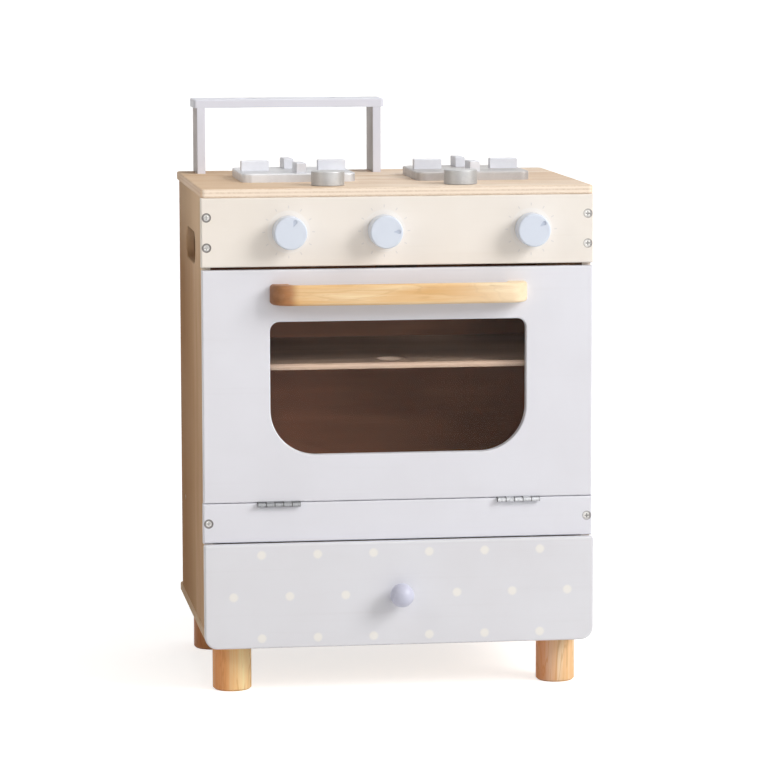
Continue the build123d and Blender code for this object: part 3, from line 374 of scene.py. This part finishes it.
def back_board():
    """Thin back: raw hardboard brown outside, and on the oven side a brown lining darkened as painted
    shade, with a painted pool of light that makes it lighter and redder towards the left.
    """
    g = board_graph("back_panel", shaded_lining, "x", "y", 5.0, layers=3)
    deepen(g, "x", 0.02, -0.14, rgb(206, 148, 120), 0.4)
    haze = g.noise(g.stretched((5, 5, 7), (0.3, 0.0, 0.1)), detail=2.0)
    g.base = g.mix(g.ramp(haze, 0.4, 0.65, 0.0, 0.45), g.base, darker(shaded_lining[1], 0.55))
    outside = g.ramp(g.normal()[1], 0.3, 0.7)
    mottle = g.noise(g.stretched((60, 60, 60)), detail=6.0, rough=0.7)
    fibres = g.noise(g.stretched((500, 500, 500)), detail=3.0)
    board_tone = g.mix(g.ramp(mottle, 0.3, 0.7), rgb(204, 172, 138), rgb(182, 148, 114))
    board_tone = g.mix(g.ramp(fibres, 0.55, 0.75, 0.0, 0.35), board_tone, rgb(142, 108, 78))
    g.base = g.mix(outside, g.base, board_tone)
    put(finish_wood(g, 0.6, 0.25), "back_panel")


back_board()
# the oven floor and shelf tones are darkened as painted shade inside the oven
board("oven_floor", shaded_lining, "x", "z", 6.0)
board("oven_shelf", (rgb(174, 148, 128), rgb(146, 120, 100)), "x", "z", 7.0, layers=3)
board("drawer_side_left", raw, "y", "x", 8.0)
board("drawer_side_right", raw, "y", "x", 9.0)
board("drawer_back", raw, "x", "y", 10.0)
board("drawer_bottom", raw, "x", "z", 11.0, layers=3)

# ---------------------------------------------------------------- solid wood
handle_tones = (rgb(253, 230, 190), rgb(228, 182, 124))
beech = (rgb(214, 176, 138), rgb(186, 142, 104))


# painted shade reaches this far in from a leg's left flank and from the handle's left end
leg_shade_reach = 0.026
handle_shade_reach = 0.033


def leg_pine(node, seed, light, dark, painted_shade):
    """Turned pine with painted shade, deeper and redder, on its left flank."""
    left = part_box(node)[0][0]
    figured = {"figure": 0.9, "broad": 45.0, "rings": 9, "ringed": 0.65}
    g = wood_graph(f"{node}_pine", light, dark, "z", seed, **figured)
    deepen(g, "x", left + leg_shade_reach, left + 0.004, painted_shade, 0.6)
    end_grain(g, "z", darker(dark, 0.6), 0.3)
    put(finish_wood(g, 0.42, 0.25), node)


front_leg_tones = {
    "left": (rgb(255, 236, 186), rgb(252, 200, 136)),
    "right": (rgb(250, 245, 220), rgb(238, 192, 140)),
}
# the back legs' tones are the front legs' with painted shade, and each leg's last colour is the painted
# shade on its left flank
back_leg_shaded_tones = (rgb(238, 190, 138), rgb(212, 150, 96))
for index, (side_name, front_tones) in enumerate(front_leg_tones.items()):
    leg_pine(f"leg_front_{side_name}", 20.0 + index, *front_tones, rgb(238, 136, 66))
    leg_pine(f"leg_back_{side_name}", 22.0 + index, *back_leg_shaded_tones, rgb(202, 116, 62))


def handle_pine():
    """Pine with a wavy figure, a painted highlight that lightens it towards the right, and painted shade
    that browns and darkens its left end.
    """
    figured = {"figure": 0.7, "broad": 36.0, "contrast": 0.13, "slope": 0.03, "rings": 9, "ringed": 0.25}
    g = wood_graph("handle_pine", *handle_tones, "x", 31.0, **figured)
    end_grain(g, "x", darker(handle_tones[1], 0.5), 0.25)
    low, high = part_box("door_handle")
    left, right = low[0], high[0]
    # painted highlight: lighter towards the right end
    deepen(g, "x", 0.02, right - 0.01, rgb(255, 243, 218), 0.45)
    # painted shade: streaked brown over the left end, darkest at the very end
    streaks = g.noise(g.stretched(grain_scale("x", 10.0, 120.0), (1.0, 2.0, 3.0)), detail=2.0)
    painted_shade = g.mix(g.ramp(streaks, 0.35, 0.65), rgb(172, 112, 72), rgb(146, 90, 56))
    inward = g.math("ADD", g.xyz()[0], g.times(streaks, 0.008))
    near = g.ramp(inward, left + handle_shade_reach, left + 0.020, to_high=0.82)
    g.base = g.mix(near, g.base, painted_shade)
    deepen(g, "x", left + 0.016, left, rgb(112, 72, 48), 0.45)
    return finish_wood(g, 0.45, 0.25)


put(handle_pine(), "door_handle")
put(wood("beech", *beech, "y", 41.0, 0.5), "drawer_runner_left", "drawer_runner_right", "shelf_battens")
put(wood("catch_wood", rgb(74, 58, 48), rgb(50, 38, 32), "x", 42.0, 0.6, 0.2), "catch_block")
put(wood("beech_pegs", *beech, "z", 43.0, 0.5), "dowels", "drawer_dowels")

# ---------------------------------------------------------------- painted boards
cream = rgb(242, 236, 229)
white = rgb(229, 230, 238)
white_tint = rgb(222, 222, 229)
dotted_white = rgb(227, 228, 234)
lavender = rgb(226, 228, 239)
lavender_tint = rgb(218, 220, 232)
pale_blue = rgb(221, 229, 241)

# front panel screws: distance from the middle plane, and from the panel's middle up and down
screw_x = 0.1945
screw_rise = 0.0152

# where painted shade fades out, or sets in, on and round a screw head, from its axis or below its face
ring_end = (0.0050, 0.0045)
rim_start = (0.0024, 0.0034)
rim_end = (0.0045, 0.0042)
recess_start = (0.0003, 0.0007)
recess_end = (0.0016, 0.0013)

# painted shade differs between the left and right sides, and this far each side of x = 0 the two blend
shade_blend = 0.05

knob_names = ("left", "middle", "right")

# the printed scale round each control knob
scale_marks = 12
disc_radius = 0.0210
mark_inner_radius = 0.0239
mark_outer_radius = 0.0265
mark_half_width = 0.00045

# dots on the drawer front: radius and soft rim, place, spacing, and how far out they reach
dot_radius = 0.0034
dot_fade = 0.0027
dot_shift = 0.001
dot_pitch = 0.0572
dot_row_pitch = 0.0428
dot_row_level = 0.1022
dot_half_span = 0.186


def face_centre(node):
    """The x and z of the middle of a node's box."""
    low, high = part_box(node)
    return (low[0] + high[0]) / 2, (low[2] + high[2]) / 2


panel_level = face_centre("control_panel")[1]
screw_levels = {
    "control": (panel_level - screw_rise, panel_level + screw_rise),
    "rail": (face_centre("lower_rail")[1],),
}


def screw_radii(g, panel):
    """The distance from the axis of the screws at each level of a front panel."""
    position = g.xyz()
    across = g.math("SUBTRACT", g.math("ABSOLUTE", position[0]), screw_x)
    return [g.distance(across, g.math("SUBTRACT", position[2], level)) for level in screw_levels[panel]]


def screw_shade_rings(g, colour, panel):
    """Painted shade in a narrow ring round each cabinet screw of a front panel, deeper on the left."""
    strength = g.ramp(g.xyz()[0], -shade_blend, shade_blend, 0.9, 0.6)
    for radius in screw_radii(g, panel):
        ring = g.times(g.ramp(radius, *ring_end), strength)
        colour = g.mix(ring, colour, rgb(92, 86, 83))
    return colour


def rail_paint():
    g = painted("rail_paint", white, 0.36, white_tint, 4.0, node="lower_rail")
    return finish_paint(g, screw_shade_rings(g, g.base, "rail"))


def control_panel_paint():
    """Cream paint with a pale printed disc and short scale marks round each knob."""
    g = painted("control_panel_paint", cream, 0.36, rgb(233, 225, 215), 1.0, node="control_panel")
    x, _, z = g.xyz()
    colour = g.base
    for name in knob_names:
        centre_x, centre_z = face_centre(f"control_knob_{name}")
        dx = g.math("SUBTRACT", x, centre_x)
        dz = g.math("SUBTRACT", z, centre_z)
        radius = g.distance(dx, dz)
        disc = g.ramp(radius, disc_radius + 0.0012, disc_radius, to_high=0.4)
        colour = g.mix(disc, colour, rgb(245, 243, 240))
        turn = g.times(g.math("ARCTAN2", dz, dx), scale_marks / (2 * math.pi))
        away = g.math("ABSOLUTE", g.math("SUBTRACT", g.math("FRACT", g.math("ADD", turn, 0.5)), 0.5))
        arc = g.times(away, radius, 2 * math.pi / scale_marks)
        mark = g.times(
            g.ramp(arc, mark_half_width + 0.0002, mark_half_width),
            g.ramp(radius, mark_inner_radius - 0.0003, mark_inner_radius),
            g.ramp(radius, mark_outer_radius + 0.0003, mark_outer_radius),
            0.3,
        )
        colour = g.mix(mark, colour, rgb(186, 186, 192))
    return finish_paint(g, screw_shade_rings(g, colour, "control"))


def drawer_paint():
    """Pale grey-white paint with rows of cream dots, every second row shifted by half a pitch."""
    g = painted("drawer_front_paint", dotted_white, 0.38, rgb(219, 218, 223), 2.0, node="drawer_front")
    x, _, z = g.xyz()
    x = g.math("SUBTRACT", x, dot_shift)
    row = g.math("DIVIDE", g.math("SUBTRACT", z, dot_row_level), dot_row_pitch)
    row_number = g.math("ROUND", row)
    odd = g.math("ABSOLUTE", g.math("MODULO", row_number, 2.0))
    column = g.math("ADD", g.math("DIVIDE", x, dot_pitch), g.times(odd, 0.5))
    dx = g.times(g.math("SUBTRACT", column, g.math("ROUND", column)), dot_pitch)
    dz = g.times(g.math("SUBTRACT", row, row_number), dot_row_pitch)
    wobble = g.times(g.noise(g.stretched((260, 260, 260))), 0.0008)
    radius = g.math("ADD", g.distance(dx, dz), wobble)
    dot = g.times(
        g.ramp(radius, dot_radius + dot_fade, dot_radius),
        g.ramp(g.facing_front(), 0.4, 0.7),
        g.ramp(g.math("ABSOLUTE", x), dot_half_span + 0.002, dot_half_span),
    )
    g.height = g.math("ADD", g.height, g.times(dot, 1.5))
    return finish_paint(g, g.mix(g.times(dot, 0.7), g.base, rgb(246, 243, 236)))


def knob_paint(name, seed):
    """Pale blue paint, with painted shade that deepens the recess that points to the scale."""
    g = painted(f"knob_{name}_paint", pale_blue, 0.34, rgb(212, 220, 236), seed)
    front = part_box(f"control_knob_{name}")[0][1]
    sunk = g.ramp(g.xyz()[1], front + 0.0002, front + 0.0006)
    recess = g.times(sunk, g.ramp(g.facing_front(), 0.8, 0.95), 0.55)
    return finish_paint(g, g.mix(recess, g.base, rgb(172, 182, 202)))


put(control_panel_paint(), "control_panel")
put(drawer_paint(), "drawer_front")
put(painted_plain("door_paint", white, 0.36, white_tint, 3.0, node="door_panel"), "door_panel")
put(rail_paint(), "lower_rail")
put(painted_plain("rack_paint", lavender, 0.4, lavender_tint, 5.0, node="rack_top_board"), "rack_top_board")


def upright_paint(node, seed, flank_shade_tones):
    """Lavender paint on the edges, with painted shade in brown-grey on the broad side faces."""
    g = painted(f"{node}_paint", lavender, 0.4, lavender_tint, seed, "z", node)
    fibres = g.noise(g.stretched(grain_scale("z", 20.0, 900.0), (seed, seed, seed)), detail=2.0)
    flank_shade = g.mix(g.ramp(fibres, 0.35, 0.7), *flank_shade_tones)
    flank = g.ramp(g.math("ABSOLUTE", g.normal()[0]), 0.8, 0.95)
    put(finish_paint(g, g.mix(g.times(flank, 0.82), g.base, flank_shade), 0.3), node)


# painted shade on the flanks, a little deeper on the right upright
upright_paint("rack_upright_left", 6.0, (rgb(150, 132, 118), rgb(122, 106, 94)))
upright_paint("rack_upright_right", 6.4, (rgb(136, 118, 102), rgb(110, 93, 79)))
for index, name in enumerate(knob_names):
    put(knob_paint(name, 7.0 + index), f"control_knob_{name}")
put(painted_plain("drawer_knob_paint", rgb(206, 208, 226), 0.3, rgb(196, 199, 220), 11.0), "drawer_knob")
# the two plates are lit and shaded copies of one silver: the right plate's tones carry painted shade
left_plate_tones = (rgb(212, 213, 216), rgb(196, 197, 201))
right_plate_shaded_tones = (rgb(186, 183, 182), rgb(170, 167, 167))
support_tones = (rgb(228, 230, 237), rgb(215, 217, 225))
dial_tones = (rgb(190, 190, 190), rgb(174, 175, 177))
put(silver("hob_silver_left", left_plate_tones, 0.5, 0.38, 0.0), "hob_plate_left")
put(silver("hob_silver_right", right_plate_shaded_tones, 0.4, 0.4, 1.0), "hob_plate_right")
put(silver("support_silver", support_tones, 0.12, 0.4, 2.0), "hob_supports_left", "hob_supports_right")
put(silver("dial_silver", dial_tones, 0.55, 0.42, 4.0), "hob_dial_left", "hob_dial_right")


# ---------------------------------------------------------------- metal and the pane
hinge_length = 0.044
knuckle_count = 5


def hinge_steel():
    """Plated steel with dark joints where the knuckles meet, and painted shade that darkens the left hinge.
    """
    g = steel_graph("hinge_steel", (200, 202, 205), 0.3, "x", 0.0)
    pin_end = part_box("hinge_pins")[1][0]
    x = g.xyz()[0]
    # painted shade: the left hinge darker
    g.base = g.mix(g.ramp(x, shade_blend, -shade_blend, 0.0, 0.6), g.base, rgb(112, 114, 116))
    inner_end = pin_end - hinge_length
    knuckle_pitch = hinge_length / knuckle_count
    along = g.math("DIVIDE", g.math("SUBTRACT", g.math("ABSOLUTE", x), inner_end), knuckle_pitch)
    near = g.math("ABSOLUTE", g.math("SUBTRACT", along, g.math("ROUND", along)))
    joint = g.ramp(near, 0.075, 0.035, to_high=0.85)
    return finish_steel(g, g.mix(joint, g.base, rgb(70, 68, 68)), 0.85)


def cross_screw_steel():
    """Plated steel with painted shade in the cross recesses, deeper on the right, and round the rims,
    deeper on the left.
    """
    g = steel_graph("screw_steel", (228, 226, 223), 0.42, "y", 3.0)
    x, y, z = g.xyz()
    left = g.ramp(x, shade_blend, -shade_blend)
    # painted shade on the rims, deeper on the left
    worn = g.ramp(left, 0.0, 1.0, 0.3, 0.8)
    for radius in screw_radii(g, "control") + screw_radii(g, "rail"):
        rim = g.times(g.ramp(radius, *rim_start), g.ramp(radius, *rim_end), worn)
        g.base = g.mix(rim, g.base, rgb(96, 92, 90))
    low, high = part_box("cabinet_screws")
    recess = 0.0
    for depth in (
        g.math("SUBTRACT", y, low[1]),
        g.math("SUBTRACT", high[0], g.math("ABSOLUTE", x)),
        g.math("SUBTRACT", z, low[2]),
    ):
        sunk = g.times(g.ramp(depth, *recess_start), g.ramp(depth, *recess_end))
        recess = g.math("MAXIMUM", recess, sunk)
    recess = g.times(recess, g.ramp(left, 0.0, 1.0, 0.6, 0.35))
    return finish_steel(g, g.mix(recess, g.base, rgb(64, 62, 61)), 0.7)


hinge_and_pane_screws = ("hinge_screws_rail", "hinge_screws_door", "pane_screws")
pull_screws = ("handle_screws", "drawer_knob_screw", "drawer_box_screws")
knob_spindles = [f"knob_spindle_{name}" for name in knob_names]
put(hinge_steel(), "hinge_leaves_rail", "hinge_leaves_door", "hinge_pins")
put(cross_screw_steel(), "cabinet_screws")
put(steel("leg_screw_steel", (190, 188, 187), 0.36, "z", 3.5), "leg_screws", "small_screws")
put(steel("small_screw_steel", (176, 176, 178), 0.34, "y", 5.0), *hinge_and_pane_screws)
put(steel("pull_screw_steel", (182, 182, 184), 0.3, "y", 6.0), *pull_screws)
put(steel("spindle_steel", (190, 190, 192), 0.28, "z", 7.0), *knob_spindles)
put(steel("dial_spindle_steel", (190, 190, 192), 0.28, "z", 8.0), "dial_spindle_left", "dial_spindle_right")
put(steel("strike_steel", (186, 186, 188), 0.3, "x", 9.0), "strike_plate")
put(steel("magnet_nickel", (200, 198, 194), 0.22, "x", 10.0), "catch_magnet")


def pane_acrylic():
    """Clear acrylic with faint wipe marks; light from lamps passes it."""
    g = Graph("pane_acrylic")
    wipe = g.noise(g.stretched((9, 9, 60)), detail=3.0)
    roughness = g.ramp(wipe, 0.35, 0.7, 0.0, 0.03)
    tint = g.mix(g.ramp(wipe, 0.3, 0.7), rgb(252, 253, 254), rgb(244, 247, 250))
    g.finish(tint, roughness, None, Transmission_Weight=1.0, IOR=1.15)
    clear = g.node("ShaderNodeBsdfTransparent")
    path = g.node("ShaderNodeLightPath")
    mix = g.node("ShaderNodeMixShader")
    g.link(path.outputs["Is Shadow Ray"], mix.inputs[0])
    g.link(g.shader.outputs[0], mix.inputs[1])
    g.link(clear.outputs[0], mix.inputs[2])
    g.link(mix.outputs[0], g.output.inputs["Surface"])
    return g.material


put(pane_acrylic(), "door_pane")


# ---------------------------------------------------------------- stage: floor and backdrop
stage_tone = (0.8, 0.8, 0.8, 1)
stage_glow = 0.7
stage_half_width = 9.0
floor_front = -7.0
bend_start = 2.2
bend_radius = 1.6
bend_steps = 12
backdrop_top = 6.0


def seen_ray(tree):
    """1 for rays from the camera, off gloss and through glass, and 0 for all others."""
    path = tree.nodes.new("ShaderNodeLightPath")
    seen = path.outputs["Is Camera Ray"]
    for kind in ("Is Glossy Ray", "Is Transmission Ray"):
        either = tree.nodes.new("ShaderNodeMath")
        either.operation = "MAXIMUM"
        tree.links.new(seen, either.inputs[0])
        tree.links.new(path.outputs[kind], either.inputs[1])
        seen = either.outputs[0]
    return seen


def stage_material():
    """White floor that keeps the object's shadow and is seen brighter than it lights the object."""
    g = Graph("stage_white")
    g.tree.nodes.remove(g.shader)
    diffuse = g.node("ShaderNodeBsdfDiffuse")
    diffuse.inputs["Color"].default_value = stage_tone
    glow = g.node("ShaderNodeEmission")
    g.link(g.times(seen_ray(g.tree), stage_glow), glow.inputs["Strength"])
    both = g.node("ShaderNodeAddShader")
    g.link(diffuse.outputs[0], both.inputs[0])
    g.link(glow.outputs[0], both.inputs[1])
    g.link(both.outputs[0], g.output.inputs["Surface"])
    return g.material


def sweep():
    """A floor that curves up into a backdrop behind the object."""
    profile = [(floor_front, 0.0), (bend_start, 0.0)]
    for step in range(1, bend_steps + 1):
        angle = math.radians(90 * step / bend_steps)
        y = bend_start + bend_radius * math.sin(angle)
        profile.append((y, bend_radius - bend_radius * math.cos(angle)))
    profile.append((bend_start + bend_radius, backdrop_top))
    mesh = bmesh.new()
    sides = (-stage_half_width, stage_half_width)
    rows = [[mesh.verts.new((x, y, z)) for y, z in profile] for x in sides]
    for index in range(len(profile) - 1):
        mesh.faces.new((rows[0][index], rows[1][index], rows[1][index + 1], rows[0][index + 1]))
    data = bpy.data.meshes.new("sweep")
    mesh.to_mesh(data)
    mesh.free()
    for face in data.polygons:
        face.use_smooth = True
    made = bpy.data.objects.new("sweep", data)
    bpy.context.collection.objects.link(made)
    data.materials.append(stage_material())


sweep()


# ---------------------------------------------------------------- light
def area_light(name, place, size, power, tone, aim=(0.0, 0.0, 0.3)):
    """A square lamp at a place, turned to a point of the object, that the camera doesn't see."""
    data = bpy.data.lights.new(name, "AREA")
    data.shape = "SQUARE"
    data.size = size
    data.energy = power
    data.color = tone
    made = bpy.data.objects.new(name, data)
    made.location = place
    made.rotation_euler = (Vector(aim) - Vector(place)).to_track_quat("-Z", "Y").to_euler()
    made.visible_camera = False
    bpy.context.collection.objects.link(made)


area_light("key", (3.0, -2.2, 2.4), 2.0, 135, (1.0, 0.985, 0.965))
area_light("front_fill", (0.7, -3.4, 1.5), 2.4, 21, (0.985, 0.99, 1.0))
area_light("top_fill", (0.4, 0.3, 3.2), 2.0, 21, (1.0, 1.0, 1.0))
area_light("left_fill", (-0.74, -0.52, 0.78), 0.4, 1.4, (1.0, 0.92, 0.82), (-0.2, -0.05, 0.45))


room_tone = (1.0, 0.94, 0.88, 1)
room_strength = 0.15


def room():
    """A dim warm room that the camera, gloss and glass see as white."""
    world = bpy.data.worlds.new("room")
    bpy.context.scene.world = world
    world.use_nodes = True
    tree = world.node_tree
    output = tree.nodes["World Output"]
    dim = tree.nodes["Background"]
    dim.inputs["Color"].default_value = room_tone
    dim.inputs["Strength"].default_value = room_strength
    white = tree.nodes.new("ShaderNodeBackground")
    white.inputs["Color"].default_value = (1, 1, 1, 1)
    white.inputs["Strength"].default_value = 1.0
    both = tree.nodes.new("ShaderNodeMixShader")
    tree.links.new(seen_ray(tree), both.inputs[0])
    tree.links.new(dim.outputs[0], both.inputs[1])
    tree.links.new(white.outputs[0], both.inputs[2])
    tree.links.new(both.outputs[0], output.inputs["Surface"])


room()

# ---------------------------------------------------------------- camera
photo_width = 768  # pixels
focal_length = 3689.4  # pixels
sensor_width = 36.0
place = Vector((-0.5168, -3.8139, 0.7609))
yaw, pitch, roll = math.radians(7.760), math.radians(6.824), math.radians(0.135)
forward = Vector((math.sin(yaw) * math.cos(pitch), math.cos(yaw) * math.cos(pitch), -math.sin(pitch)))
level = Vector((math.cos(yaw), -math.sin(yaw), 0.0))
down = forward.cross(level)
right = math.cos(roll) * level + math.sin(roll) * down
up = math.sin(roll) * level - math.cos(roll) * down
camera_data = bpy.data.cameras.new("camera")
camera_data.sensor_width = sensor_width
camera_data.lens = sensor_width * focal_length / photo_width
camera_data.clip_end = 60.0
camera = bpy.data.objects.new("camera", camera_data)
camera.matrix_world = Matrix(
    (
        (right.x, up.x, -forward.x, place.x),
        (right.y, up.y, -forward.y, place.y),
        (right.z, up.z, -forward.z, place.z),
        (0, 0, 0, 1),
    )
)
bpy.context.collection.objects.link(camera)
bpy.context.scene.camera = camera
bpy.context.scene.view_settings.view_transform = "Standard"
